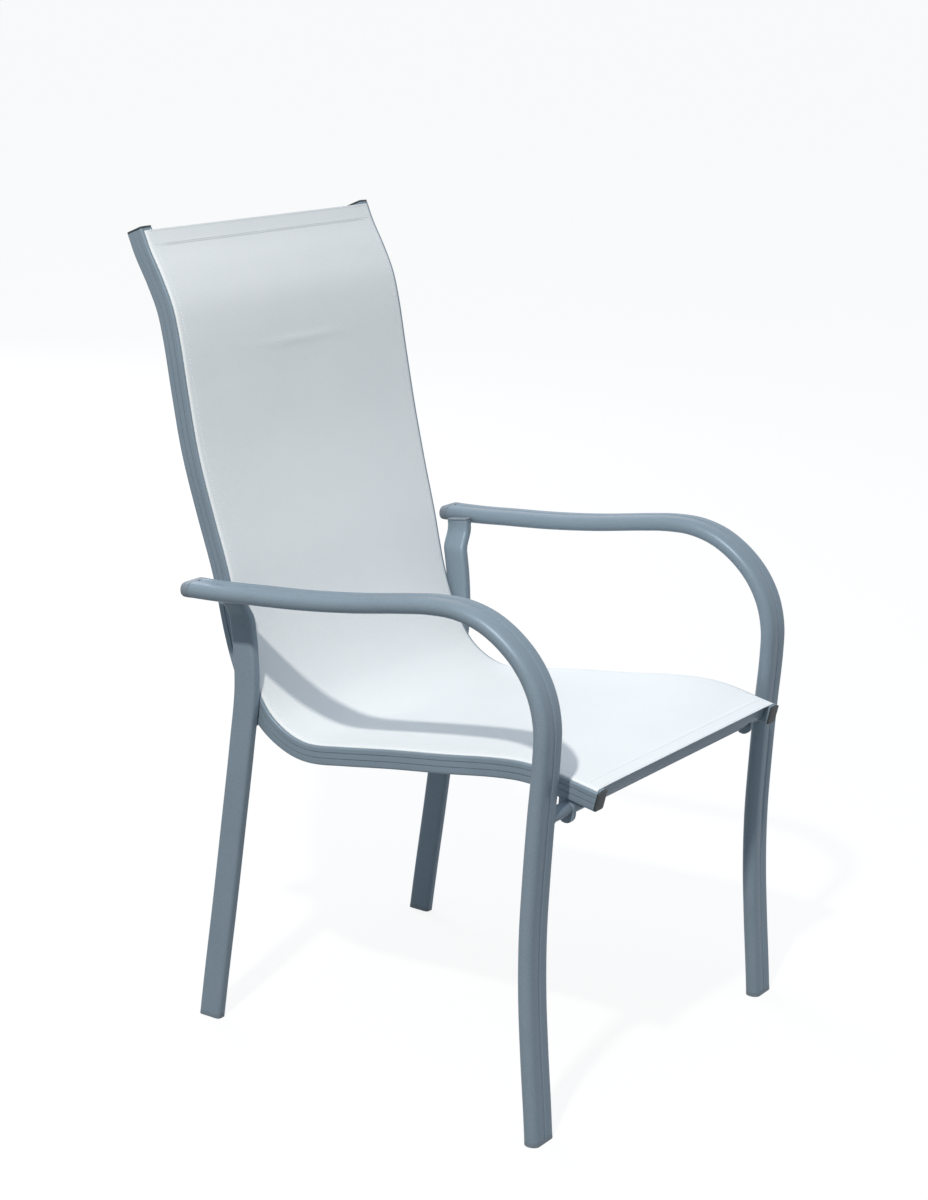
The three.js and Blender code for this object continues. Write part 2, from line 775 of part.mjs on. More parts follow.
pair('arm_and_front_leg', armTube(), paint);
pair('rear_leg', rearLeg(), paint);
pair('sling_rail', slingRail(), paint);
pair('edge_rod', edgeRod(), rodPlastic);
pair('front_glide', frontGlide(), mouldedPlastic);
pair('rear_glide', rearGlide(), mouldedPlastic);
pair('arm_plug', armPlug(), mouldedPlastic);
pair('rear_leg_cap', postCap(), paint);
pair('rail_front_cap', railCap(true), mouldedPlastic);
pair('rail_top_cap', railCap(false), mouldedPlastic);
pair('rail_bracket', railBracket(), paint);
pair('front_spreader_plug', spreaderPlug(frontSpreaderFrame), mouldedPlastic);
pair('top_spreader_plug', spreaderPlug(topSpreaderFrame), mouldedPlastic);
pair('rail_bolt', railBolt(), platedSteel);
pair('rivet_nut', rivetNut(), platedSteel);
pair('bracket_screw', bracketScrew(), platedSteel);
piece('sling', sling(), slingCloth());
piece('front_cross_tube', frontTube(), paint());
piece('rear_cross_tube', rearTube(), paint());
piece('front_spreader_bar', spreaderBar(frontSpreaderFrame), paint());
piece('top_spreader_bar', spreaderBar(topSpreaderFrame), paint());

// Origin at the middle of the footprint, on the floor
const box = new THREE.Box3().setFromObject(chair);
chair.position.set(0, -(box.min.y + box.max.y) / 2, -box.min.z);

export default chair;
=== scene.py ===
"""High-back sling patio chair: powder-coated aluminium side frames and slotted rails, with a
white cloth sling held by rods in the rails. Metres, +Z up, the sitter faces -Y."""
import math

import bmesh
import bpy
from mathutils import Matrix, Vector

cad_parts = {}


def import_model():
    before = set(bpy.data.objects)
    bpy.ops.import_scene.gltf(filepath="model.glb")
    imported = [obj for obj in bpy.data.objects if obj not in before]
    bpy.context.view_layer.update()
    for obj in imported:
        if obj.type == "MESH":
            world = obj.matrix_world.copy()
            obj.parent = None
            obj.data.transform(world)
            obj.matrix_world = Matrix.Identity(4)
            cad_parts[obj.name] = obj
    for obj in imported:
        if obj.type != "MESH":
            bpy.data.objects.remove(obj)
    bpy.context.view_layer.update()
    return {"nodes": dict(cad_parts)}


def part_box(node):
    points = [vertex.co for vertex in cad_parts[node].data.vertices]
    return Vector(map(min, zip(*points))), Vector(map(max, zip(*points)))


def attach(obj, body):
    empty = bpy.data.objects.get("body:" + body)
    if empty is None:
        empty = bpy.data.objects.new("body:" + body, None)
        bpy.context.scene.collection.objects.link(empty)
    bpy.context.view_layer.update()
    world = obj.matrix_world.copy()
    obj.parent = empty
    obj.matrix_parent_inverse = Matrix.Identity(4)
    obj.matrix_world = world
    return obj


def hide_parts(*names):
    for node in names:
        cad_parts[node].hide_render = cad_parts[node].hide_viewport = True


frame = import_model()
scene = bpy.context.scene
scene.view_settings.view_transform = "Standard"

MM = 0.001
QUARTER = math.pi / 2
FULL = 2 * math.pi
SIDES = {"right": -1, "left": 1}

# Camera
IMAGE_HEIGHT = 1200
FOCAL_PIXELS = 2848.84
SENSOR = 36.0
CAMERA_PLACE = (-3.05131, -1.80412, 1.48085)
CAMERA_AXES = (
    (0.51995263, -0.85115103, 0.07204983),
    (0.19295744, 0.19920352, 0.96077333),
    (-0.83211579, -0.48565407, 0.26781232),
)
CENTRE_RIGHT = 4.2
CENTRE_DOWN = 35.6


def place_camera():
    camera = bpy.data.objects.new("camera", bpy.data.cameras.new("camera"))
    scene.collection.objects.link(camera)
    matrix = Matrix(CAMERA_AXES).transposed().to_4x4()
    matrix.translation = CAMERA_PLACE
    camera.matrix_world = matrix
    camera.data.sensor_fit = "AUTO"
    camera.data.sensor_width = SENSOR
    camera.data.lens = FOCAL_PIXELS * SENSOR / IMAGE_HEIGHT
    camera.data.shift_x = -CENTRE_RIGHT / IMAGE_HEIGHT
    camera.data.shift_y = CENTRE_DOWN / IMAGE_HEIGHT
    camera.data.clip_end = 200
    scene.camera = camera


place_camera()

# Sizes, millimetres
CHAIR_HEIGHT = 1000
CHAIR_DEPTH = 714
ARM_X = 300
SIDE_GAP = 32
SEAT_GAP = 0.3

ARM_WIDTH = 47.5
ARM_THICKNESS = 19.5
ARM_CHANNEL_WIDTH = 6
ARM_CHANNEL_DEPTH = 1.0
ARM_CHANNEL_EDGE_OUT = 0.4
ARM_CHANNEL_EDGE_DOWN = 0.12
ARM_PLUG_LENGTH = 13
ARM_PLUG_ROUND = 5
ARM_PLUG_CORNER = 9.2

RAIL_INBOARD = 9
RAIL_OUTBOARD = 11.7
RAIL_DEPTH = 25
RAIL_SHOULDER = 6.5
RAIL_CROWN_FLAT = 1
RAIL_CORNER = 3
RAIL_TOP_EDGE = 1.2
RAIL_TOP_EDGE_MIDDLE = 0.35
RAIL_CAP_THICKNESS = 2.4
RAIL_X = ARM_X - ARM_WIDTH / 2 - SIDE_GAP - RAIL_OUTBOARD
RAIL_INNER = RAIL_X - RAIL_INBOARD
CHANNEL_RADIUS = 3.35
CHANNEL_X = 6.75
CHANNEL_DROP = 6.1
MOUTH_HALF = 0.8
MOUTH_EDGE = 0.1
LIP_TOP = -0.9
LIP_RADIUS = 2.4
LIP_SIDE_STRIP = 0.3
LIP_TOP_STRIP = 1.1
GROOVES = (-8.2, -15.8)
GROOVE_HALF = 0.8
GROOVE_DEPTH = 0.9
BACK_FLARE = 9
FLARE_SHARES = (0.545, 0.76)

LEG_THICKNESS = 16
LEG_DEPTH = 32
LEG_CORNER = 5
LEG_CAP_THICKNESS = 2
LEG_X = RAIL_X + RAIL_OUTBOARD + SEAT_GAP + LEG_THICKNESS / 2
LEG_LEAN = ARM_X - ARM_WIDTH / 2 - SEAT_GAP - (LEG_X + LEG_THICKNESS / 2)
JOGGLE_HEIGHT = 32
JOGGLE_STRAIGHT = 8

CLOTH = 0.9
CLOTH_LIFT = 0.75
SLING_FRONT_SETBACK = 3
SLING_TOP_SETBACK = 3.5
TOP_HEM = 22
FRONT_HEM = 20
POCKET_SEAM = -3.2
HEM_STEP = 0.45
HEM_SLOPE = 0.8
HEM_FADE = 12
SEAT_SAG = 4.5
BACK_SAG = 3.0
BEND_SHARE = 0.46
FOLD_X = 5
FOLD_HEIGHT = 842
FOLD_REACH = 80
FOLD_WIDTH = 6
FOLD_LIFT = 0.85

# The last of the three is along the row, as in BEAD
STITCH = (0.5, 0.7, 3.0)
STITCH_PITCH = 4.2
STITCH_LIFT = CLOTH / 2 + 0.1
EDGE_MARGIN = 2.2
HEM_MARGIN = 3.0

TUBE_RADIUS = 9
SPREADER_WIDTH = 20
SPREADER_HEIGHT = 18
SPREADER_CORNER = 3
# Along the rail: the front bar from its front end, the top bar back from its top
SPREADER_PLACES = (17, -45)
GLIDE_BASE = 5
GLIDE_EDGE = 0.9
LEG_CAP_EDGE = 0.6
RAIL_CAP_EDGE = 0.8

BEAD = (1.5, 2.6, 2.8)
BEAD_PITCH = 1.5
BRACKET_WELD_OUT = 0.2
REAR_WELD_OUT = 0.1
REAR_WELD_GAP = 0.75
LEG_WELD_OUT = 0.8
LEG_WELD_REACH = 13
LEG_WELD_DROP = 4.6

# How finely the shapes are divided
CURVE_PARTS = 40
BEND_SPACING = 6
ROW_SPACING = 6
ROWS_APART = 2
HALF_SPAN_PARTS = 24
CROSS_SEAM_PARTS = 30
POCKET_SEAM_PARTS = 200
RING_PARTS = 40
PLUG_PARTS = 8
CLOTH_SHARP_DEGREES = 50

# Side view, as shares of the depth and the height
RAIL_SHARES = [
    (-0.486, 0.426), (-0.441, 0.4317), (-0.391, 0.4377), (-0.339, 0.4397), (-0.287, 0.4362),
    (-0.184, 0.4237), (-0.081, 0.4122), (0.021, 0.3992), (0.073, 0.3932), (0.102, 0.3937),
    (0.135, 0.4015), (0.1695, 0.418), (0.2015, 0.4485), (0.225, 0.482), (0.2435, 0.5165),
    (0.274, 0.588), (0.309, 0.658), (0.342, 0.729), (0.369, 0.800), (0.395, 0.872),
    (0.412, 0.9075), (0.4375, 0.941), (0.465, 0.972), (0.482, 0.996),
]
ARM_SHARES = [
    (-0.476, -0.014), (-0.4665, 0.036), (-0.4515, 0.109), (-0.4385, 0.1815), (-0.4305, 0.2545),
    (-0.428, 0.328), (-0.4275, 0.401), (-0.4285, 0.474), (-0.425, 0.511), (-0.410, 0.5455),
    (-0.3825, 0.5757), (-0.344, 0.6001), (-0.299, 0.6171), (-0.249, 0.6246), (-0.198, 0.6231),
    (-0.147, 0.6171), (-0.046, 0.6031), (0.055, 0.5921), (0.157, 0.5841), (0.200, 0.5806),
    (0.240, 0.578), (0.277, 0.5762),
]
LEG_SHARES = [
    (0.2505, -0.014), (0.244, 0.060), (0.234, 0.160), (0.226, 0.250), (0.2155, 0.373),
    (0.2115, 0.446), (0.2195, 0.500), (0.232, 0.545), (0.239, 0.5745),
]


# Paths
def smooth_curve(points, parts):
    """Centripetal Catmull-Rom curve through the points."""
    ends = [2 * points[0] - points[1], *points, 2 * points[-1] - points[-2]]
    out = []
    for p0, p1, p2, p3 in zip(ends, ends[1:], ends[2:], ends[3:]):
        d0, d1, d2 = (math.sqrt((b - a).length) for a, b in ((p0, p1), (p1, p2), (p2, p3)))
        t1 = ((p1 - p0) / d0 - (p2 - p0) / (d0 + d1) + (p2 - p1) / d1) * d1
        t2 = ((p2 - p1) / d1 - (p3 - p1) / (d1 + d2) + (p3 - p2) / d2) * d1
        for i in range(parts):
            t = i / parts
            out.append(
                p1 + t1 * t + (3 * (p2 - p1) - 2 * t1 - t2) * t * t
                + (2 * (p1 - p2) + t1 + t2) * t ** 3
            )
    return [*out, points[-1]]


class Path:
    """A bent line in the side view, measured along its length in millimetres."""

    def __init__(self, shares, spacing):
        points = [Vector((0, y * CHAIR_DEPTH, z * CHAIR_HEIGHT)) for y, z in shares]
        raw = smooth_curve(points, CURVE_PARTS)
        self.raw = raw
        self.along = [0.0]
        for a, b in zip(raw, raw[1:]):
            self.along.append(self.along[-1] + (b - a).length)
        self.length = self.along[-1]
        self.steps = math.ceil(self.length / spacing)

    def at(self, distance):
        """Point, direction and sitter-side normal at a distance from the start."""
        distance = min(max(distance, 0.0), self.length)
        low, high = 0, len(self.along) - 1
        while high - low > 1:
            middle = (low + high) // 2
            low, high = (middle, high) if self.along[middle] <= distance else (low, middle)
        share = (distance - self.along[low]) / (self.along[high] - self.along[low])
        point = self.raw[low].lerp(self.raw[high], share)
        before = self.raw[max(low - 1, 0)]
        after = self.raw[min(high + 1, len(self.raw) - 1)]
        tangent = (after - before).normalized()
        return point, tangent, Vector((1, 0, 0)).cross(tangent)

    def points(self):
        return [self.at(self.length * i / self.steps)[0] for i in range(self.steps + 1)]

    def reaching(self, z):
        """Distance along the path where it first reaches a height."""
        return next(d for d, p in zip(self.along, self.raw) if p.z >= z)


def ease(value, low, high):
    t = min(max((value - low) / (high - low), 0), 1)
    return t * t * (3 - 2 * t)


def flare_at(z):
    """How far the rails stand further apart at a height on the back."""
    return BACK_FLARE * ease(z / CHAIR_HEIGHT, *FLARE_SHARES)


rail_path = Path(RAIL_SHARES, BEND_SPACING)
arm_path = Path(ARM_SHARES, BEND_SPACING)
leg_path = Path(LEG_SHARES, BEND_SPACING)

# The CAD model is centred on its footprint, so the side-view lines move with it
rail_cad_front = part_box("sling_rail_right")[0].y / MM
SHIFT = rail_cad_front - min(
    rail_path.at(0)[0].y, (rail_path.at(0)[0] - RAIL_DEPTH * rail_path.at(0)[2]).y
)


# Finishes
def colour(code):
    """sRGB hex to linear RGBA."""
    parts = [int(code[i:i + 2], 16) / 255 for i in (0, 2, 4)]
    return (*[c / 12.92 if c <= 0.04045 else ((c + 0.055) / 1.055) ** 2.4 for c in parts], 1.0)


def add(tree, kind, sockets=None, **settings):
    """A node with its settings; its sockets take values or other nodes' outputs."""
    node = tree.nodes.new(kind)
    for name, value in settings.items():
        setattr(node, name, value)
    for key, value in (sockets or {}).items():
        source = value.outputs[0] if isinstance(value, bpy.types.Node) else value
        if isinstance(source, bpy.types.NodeSocket):
            tree.links.new(source, node.inputs[key])
        else:
            node.inputs[key].default_value = source
    return node


def lumps(size):
    """Noise scale that gives lumps of a size in millimetres."""
    return 1 / (size * MM)


def material(name, **shader):
    made = bpy.data.materials.new(name)
    made.use_nodes = True
    tree = made.node_tree
    principled = tree.nodes["Principled BSDF"]
    for key, value in shader.items():
        principled.inputs[key.replace("_", " ")].default_value = value
    return made, tree, principled


def powder_coat():
    """Aluminium under a satin grey powder coat: the baked powder levels into faint orange peel,
    and a little metal flake makes its highlights soft and slightly blue. The flake is drawn
    at 1.1 mm, because real flake would not show. The flake specks are light blue base colour:
    partly the flake's own colour, partly painted glints with a painted blue cast of sky
    reflection. The bluish specular tint also turns the highlights blue."""
    made, tree, shader = material(
        "powder_coat_grey", Metallic=0.1, Specular_IOR_Level=0.22, Specular_Tint=(0.6, 0.78, 1.0, 1.0),
    )
    place = add(tree, "ShaderNodeTexCoord").outputs["Object"]
    drift = add(tree, "ShaderNodeTexNoise", {"Vector": place, "Scale": lumps(71.4), "Detail": 4.0})
    flake = add(tree, "ShaderNodeTexNoise", {"Vector": place, "Scale": lumps(1.11), "Detail": 1.0})
    body = add(tree, "ShaderNodeMix", {
        0: drift.outputs["Fac"], 6: colour("72818a"), 7: colour("7f8e98"),
    }, data_type="RGBA")
    # Painted glints: light blue flake specks in the base colour, partly the flake's own colour and
    # partly a painted blue sky reflection
    flake_glint_share = add(tree, "ShaderNodeMapRange", {
        0: flake.outputs["Fac"], 1: 0.35, 2: 0.75, 3: 0.0, 4: 0.25,
    })
    coat_with_painted_glints = add(tree, "ShaderNodeMix", {
        0: flake_glint_share, 6: body.outputs[2], 7: colour("9fb0ca"),
    }, data_type="RGBA")
    tree.links.new(coat_with_painted_glints.outputs[2], shader.inputs["Base Color"])
    peel = add(tree, "ShaderNodeTexNoise", {"Vector": place, "Scale": lumps(2.38), "Detail": 2.0})
    bump = add(tree, "ShaderNodeBump", {
        "Height": peel.outputs["Fac"], "Strength": 0.12, "Distance": 0.4 * MM,
    })
    tree.links.new(bump.outputs[0], shader.inputs["Normal"])
    rough = add(tree, "ShaderNodeMapRange", {
        0: drift.outputs["Fac"], 1: 0.3, 2: 0.7, 3: 0.33, 4: 0.43,
    })
    tree.links.new(rough.outputs[0], shader.inputs["Roughness"])
    return made


def sling_weave():
    """Vinyl-coated polyester yarn in a plain weave, matt and slightly uneven in tone. Its
    1 mm yarn is drawn at 2.2 mm, because finer yarn would not show. The lines between the
    yarns are painted darker grey-blue: painted shade in the gaps of the weave."""
    made, tree, shader = material("coated_polyester_weave", Roughness=0.78, Sheen_Weight=0.12)
    place = add(tree, "ShaderNodeUVMap", uv_map="cloth").outputs[0]
    yarn = 2.2 * MM
    across = add(tree, "ShaderNodeSeparateXYZ", {0: place})
    waves = []
    for axis in (0, 1):
        phase = add(tree, "ShaderNodeMath", {
            0: across.outputs[axis], 1: math.pi / yarn,
        }, operation="MULTIPLY")
        waves.append(add(tree, "ShaderNodeMath", {0: phase}, operation="SINE"))
    crossing = add(tree, "ShaderNodeMath", {0: waves[0], 1: waves[1]}, operation="MULTIPLY")
    height = add(tree, "ShaderNodeMath", {0: crossing}, operation="ABSOLUTE")
    drift = add(tree, "ShaderNodeTexNoise", {"Vector": place, "Scale": lumps(111), "Detail": 3.0})
    thread = add(tree, "ShaderNodeTexNoise", {"Vector": place, "Scale": lumps(3.85), "Detail": 2.0})
    base = add(tree, "ShaderNodeMix", {
        0: drift.outputs["Fac"], 6: colour("dde2e3"), 7: colour("e8ebea"),
    }, data_type="RGBA")
    yarns = add(tree, "ShaderNodeMix", {
        0: thread.outputs["Fac"], 6: base.outputs[2], 7: colour("e2e7ea"),
    }, data_type="RGBA")
    # Painted shade: the lines between the yarns are darkened towards grey-blue
    gap_shade_share = add(tree, "ShaderNodeMapRange", {0: height, 1: 0.0, 2: 0.5, 3: 0.22, 4: 0.0})
    weave_with_painted_gap_shade = add(tree, "ShaderNodeMix", {
        0: gap_shade_share, 6: yarns.outputs[2], 7: colour("b9c3ca"),
    }, data_type="RGBA")
    tree.links.new(weave_with_painted_gap_shade.outputs[2], shader.inputs["Base Color"])
    bump = add(tree, "ShaderNodeBump", {"Height": height, "Strength": 0.25, "Distance": 0.4 * MM})
    tree.links.new(bump.outputs[0], shader.inputs["Normal"])
    return made


def matt_plastic(name, dark, light):
    """Moulded nylon or extruded vinyl: matt, slightly uneven in colour, with the fine grain
    that a spark-eroded tool leaves. The grain is drawn at 0.67 mm, so that it shows."""
    made, tree, shader = material(name, Roughness=0.55)
    place = add(tree, "ShaderNodeTexCoord").outputs["Object"]
    grain = add(tree, "ShaderNodeTexNoise", {"Vector": place, "Scale": lumps(0.67), "Detail": 2.0})
    drift = add(tree, "ShaderNodeTexNoise", {"Vector": place, "Scale": lumps(16.7), "Detail": 3.0})
    shade = add(tree, "ShaderNodeMix", {
        0: drift.outputs["Fac"], 6: colour(dark), 7: colour(light),
    }, data_type="RGBA")
    tree.links.new(shade.outputs[2], shader.inputs["Base Color"])
    bump = add(tree, "ShaderNodeBump", {
        "Height": grain.outputs["Fac"], "Strength": 0.3, "Distance": 0.2 * MM,
    })
    tree.links.new(bump.outputs[0], shader.inputs["Normal"])
    return made


def zinc_plate():
    """Bright zinc on steel: a cool metal, cloudy from the passivating dip."""
    made, tree, shader = material("zinc_plate", Metallic=1.0, Roughness=0.32)
    place = add(tree, "ShaderNodeTexCoord").outputs["Object"]
    cloud = add(tree, "ShaderNodeTexNoise", {"Vector": place, "Scale": lumps(3.33), "Detail": 4.0})
    plated = add(tree, "ShaderNodeMix", {
        0: cloud.outputs["Fac"], 6: colour("a9b0b6"), 7: colour("c9ced2"),
    }, data_type="RGBA")
    tree.links.new(plated.outputs[2], shader.inputs["Base Color"])
    rough = add(tree, "ShaderNodeMapRange", {
        0: cloud.outputs["Fac"], 1: 0.3, 2: 0.7, 3: 0.25, 4: 0.42,
    })
    tree.links.new(rough.outputs[0], shader.inputs["Roughness"])
    return made


def sewing_thread():
    """Bonded polyester thread, a little greyer than the cloth. Its fine lights along the twist
    are painted in: lighter and darker specks in the base colour, partly random tone and partly
    painted highlights."""
    made, tree, shader = material("bonded_thread", Roughness=0.6, Sheen_Weight=0.2)
    place = add(tree, "ShaderNodeTexCoord").outputs["Object"]
    twist = add(tree, "ShaderNodeTexNoise", {"Vector": place, "Scale": lumps(0.4), "Detail": 1.0})
    # Painted highlights: lighter specks stand for the fine lights along the thread's twist, mixed with
    # random tone
    twist_tone_and_painted_lights = add(tree, "ShaderNodeMix", {
        0: twist.outputs["Fac"], 6: colour("c4ccd2"), 7: colour("dde3e7"),
    }, data_type="RGBA")
    tree.links.new(twist_tone_and_painted_lights.outputs[2], shader.inputs["Base Color"])
    return made


coat = powder_coat()
weave = sling_weave()
nylon = matt_plastic("moulded_nylon_dark", "2a3034", "363d42")
grey_nylon = matt_plastic("moulded_nylon_grey", "6c7780", "788490")
rod_vinyl = matt_plastic("extruded_vinyl", "c3c7c9", "d2d5d6")
zinc = zinc_plate()
thread = sewing_thread()


# Node trees
def new_tree(name, inputs):
    """An empty tree and the outputs that carry its inputs."""
    tree = bpy.data.node_groups.new(name, "GeometryNodeTree")
    tree.interface.new_socket("Geometry", in_out="INPUT", socket_type="NodeSocketGeometry")
    for title, kind in inputs:
        tree.interface.new_socket(title, in_out="INPUT", socket_type=kind)
    tree.interface.new_socket("Geometry", in_out="OUTPUT", socket_type="NodeSocketGeometry")
    return tree, tree.nodes.new("NodeGroupInput").outputs


def finish_tree(tree, geometry, finish):
    """The last nodes of every tree: real geometry, with its material."""
    realized = add(tree, "GeometryNodeRealizeInstances", {0: geometry})
    painted = add(tree, "GeometryNodeSetMaterial", {"Geometry": realized, "Material": finish})
    add(tree, "NodeGroupOutput", {0: painted})


def section_sweep_tree():
    """A closed section carried along a path, with its ends closed."""
    tree, given = new_tree("section_along_path", [
        ("Path", "NodeSocketObject"), ("Section", "NodeSocketObject"), ("Finish", "NodeSocketMaterial"),
    ])
    path = add(tree, "GeometryNodeObjectInfo", {"Object": given["Path"]})
    section = add(tree, "GeometryNodeObjectInfo", {"Object": given["Section"]})
    swept = add(tree, "GeometryNodeCurveToMesh", {
        "Curve": path.outputs["Geometry"], "Profile Curve": section.outputs["Geometry"],
        "Fill Caps": True,
    })
    finish_tree(tree, swept, given["Finish"])
    return tree


def bead_tree():
    """Short rounded lumps at an even pitch along a path: stitches, or the ripples of a weld."""
    tree, given = new_tree("beads_along_path", [
        ("Path", "NodeSocketObject"), ("Pitch", "NodeSocketFloat"), ("Size", "NodeSocketVector"),
        ("Finish", "NodeSocketMaterial"),
    ])
    path = add(tree, "GeometryNodeObjectInfo", {"Object": given["Path"]})
    points = add(tree, "GeometryNodeCurveToPoints", {
        "Curve": path.outputs["Geometry"], "Length": given["Pitch"],
    }, mode="LENGTH")
    lump = add(tree, "GeometryNodeMeshIcoSphere", {"Radius": 0.5, "Subdivisions": 2})
    smooth = add(tree, "GeometryNodeSetShadeSmooth", {0: lump.outputs["Mesh"]})
    placed = add(tree, "GeometryNodeInstanceOnPoints", {
        "Points": points.outputs["Points"], "Instance": smooth,
        "Rotation": points.outputs["Rotation"], "Scale": given["Size"],
    })
    finish_tree(tree, placed, given["Finish"])
    return tree


sweeping = section_sweep_tree()
beading = bead_tree()


def curve_object(name, points, closed):
    curve = bpy.data.curves.new(name, "CURVE")
    curve.dimensions = "3D"
    spline = curve.splines.new("POLY")
    spline.points.add(len(points) - 1)
    for slot, point in zip(spline.points, points):
        slot.co = (*point, 1.0)
    spline.use_cyclic_u = closed
    made = bpy.data.objects.new(name, curve)
    scene.collection.objects.link(made)
    return made


def plain_mesh(carrier):
    """The object's mesh with its modifiers applied; the object is removed."""
    result = carrier.evaluated_get(bpy.context.evaluated_depsgraph_get())
    mesh = bpy.data.meshes.new_from_object(result)
    bpy.data.objects.remove(carrier)
    return mesh


def run_tree(name, tree, values):
    """A plain mesh made by a node tree."""
    carrier = bpy.data.objects.new(name, bpy.data.meshes.new(name))
    scene.collection.objects.link(carrier)
    modifier = carrier.modifiers.new("made", "NODES")
    modifier.node_group = tree
    sockets = {s.name: s.identifier for s in tree.interface.items_tree if s.in_out == "INPUT"}
    for title, value in values.items():
        modifier[sockets[title]] = value
    return plain_mesh(carrier)


def swept_mesh(name, section, path):
    """The section, x outboard and y to the sitter's side, along a path drawn in millimetres."""
    # A curve that sets off towards +Y carries its section half a turn round
    heading = path[1] - path[0]
    turn = -1 if heading.y > 0 else 1
    outline = curve_object("section", [(turn * x * MM, turn * y * MM, 0) for x, y in section], True)
    line = curve_object("path", [p * MM for p in path], False)
    mesh = run_tree(name, sweeping, {"Path": line, "Section": outline, "Finish": coat})
    for helper in (outline, line):
        bpy.data.objects.remove(helper)
    return mesh


# Sections
def arc(x, y, radius_x, radius_y, start, end, parts):
    steps = (start + (end - start) * i / parts for i in range(parts + 1))
    return [(x + radius_x * math.cos(a), y + radius_y * math.sin(a)) for a in steps]


def rounded(width, height, corner, parts=6):
    x, y = width / 2 - corner, height / 2 - corner
    return [
        *arc(x, -y, corner, corner, -QUARTER, 0, parts), *arc(x, y, corner, corner, 0, QUARTER, parts),
        *arc(-x, y, corner, corner, QUARTER, 2 * QUARTER, parts),
        *arc(-x, -y, corner, corner, 2 * QUARTER, 3 * QUARTER, parts),
    ]


def oval_section():
    """Flat-oval tube with a shallow channel along its outer face."""
    radius = ARM_THICKNESS / 2
    flat = ARM_WIDTH / 2 - radius
    lip = ARM_CHANNEL_WIDTH / 2
    floor = lip - ARM_CHANNEL_DEPTH
    deep = radius - ARM_CHANNEL_DEPTH
    out, down = lip + ARM_CHANNEL_EDGE_OUT, radius - ARM_CHANNEL_EDGE_DOWN
    return [
        *arc(flat, 0, radius, radius, -QUARTER, QUARTER, 18),
        (out, radius), (lip, down), (floor, deep), (-floor, deep), (-lip, down), (-out, radius),
        *arc(-flat, 0, radius, radius, QUARTER, 3 * QUARTER, 18),
    ]


def rail_foot():
    """Lower corners of the rail, inboard one first."""
    side, inner = RAIL_OUTBOARD - RAIL_CORNER, RAIL_CORNER - RAIL_INBOARD
    low = RAIL_CORNER - RAIL_DEPTH
    return [
        *arc(inner, low, RAIL_CORNER, RAIL_CORNER, 2 * QUARTER, 3 * QUARTER, 6),
        *arc(side, low, RAIL_CORNER, RAIL_CORNER, -QUARTER, 0, 6),
    ]


def rail_lip():
    """Rounded lip from the outboard side to the slot. A narrow strip beside the rounding, at
    each end, keeps the flat beyond it flat in shading."""
    x, y = RAIL_OUTBOARD - LIP_RADIUS, LIP_TOP - LIP_RADIUS
    return [
        (RAIL_OUTBOARD, y - LIP_SIDE_STRIP), *arc(x, y, LIP_RADIUS, LIP_RADIUS, 0, QUARTER, 8),
        (x - LIP_TOP_STRIP, LIP_TOP), (CHANNEL_X + MOUTH_HALF + MOUTH_EDGE, LIP_TOP),
    ]


def rail_top():
    """Crown from the slot to the inboard edge, which is taken off in two flats."""
    width = RAIL_OUTBOARD - RAIL_CROWN_FLAT
    start = math.acos((CHANNEL_X - MOUTH_HALF - RAIL_CROWN_FLAT) / width)
    edge, corner = RAIL_TOP_EDGE, RAIL_TOP_EDGE_MIDDLE
    return [
        *arc(RAIL_CROWN_FLAT, -RAIL_SHOULDER, width, RAIL_SHOULDER, start, QUARTER, 8),
        (edge - RAIL_INBOARD, 0), (corner - RAIL_INBOARD, -corner), (-RAIL_INBOARD, -edge),
    ]


def rail_section():
    """Slotted rail: a rod channel opens in its crown, with a rounded lip outboard of the slot
    and two fine grooves down the outboard side."""
    grooves = []
    deep = RAIL_OUTBOARD - GROOVE_DEPTH
    for height in reversed(GROOVES):
        grooves += [
            (RAIL_OUTBOARD, height - GROOVE_HALF), (deep, height - GROOVE_HALF / 2),
            (deep, height + GROOVE_HALF / 2), (RAIL_OUTBOARD, height + GROOVE_HALF),
        ]
    mouth = math.asin(MOUTH_HALF / CHANNEL_RADIUS)
    channel = arc(
        CHANNEL_X, -CHANNEL_DROP, CHANNEL_RADIUS, CHANNEL_RADIUS, QUARTER - mouth,
        mouth - 3 * QUARTER, 20,
    )
    return [
        *rail_foot(), *grooves, *rail_lip(), (CHANNEL_X + MOUTH_HALF, LIP_TOP - MOUTH_EDGE),
        *channel, *rail_top(),
    ]


def rail_end_section():
    """The rail's outline with its slot and grooves closed."""
    return [*rail_foot(), *rail_lip(), *rail_top()]


# Finishing meshes
def move(mesh, x=0.0):
    """A right-hand mesh drawn round X = 0, in metres, moved outboard and centred like the CAD."""
    mesh.transform(Matrix.Translation((-x * MM, SHIFT * MM, 0)))
    return mesh


def smoothed(mesh, degrees=35):
    made = bmesh.new()
    made.from_mesh(mesh)
    bmesh.ops.remove_doubles(made, verts=made.verts, dist=1e-6)
    bmesh.ops.recalc_face_normals(made, faces=made.faces)
    made.to_mesh(mesh)
    made.free()
    mesh.shade_smooth()
    mesh.set_sharp_from_angle(angle=math.radians(degrees))
    return mesh


def flared(mesh):
    for vertex in mesh.vertices:
        vertex.co.x += math.copysign(flare_at(vertex.co.z / MM) * MM, vertex.co.x)
    return mesh


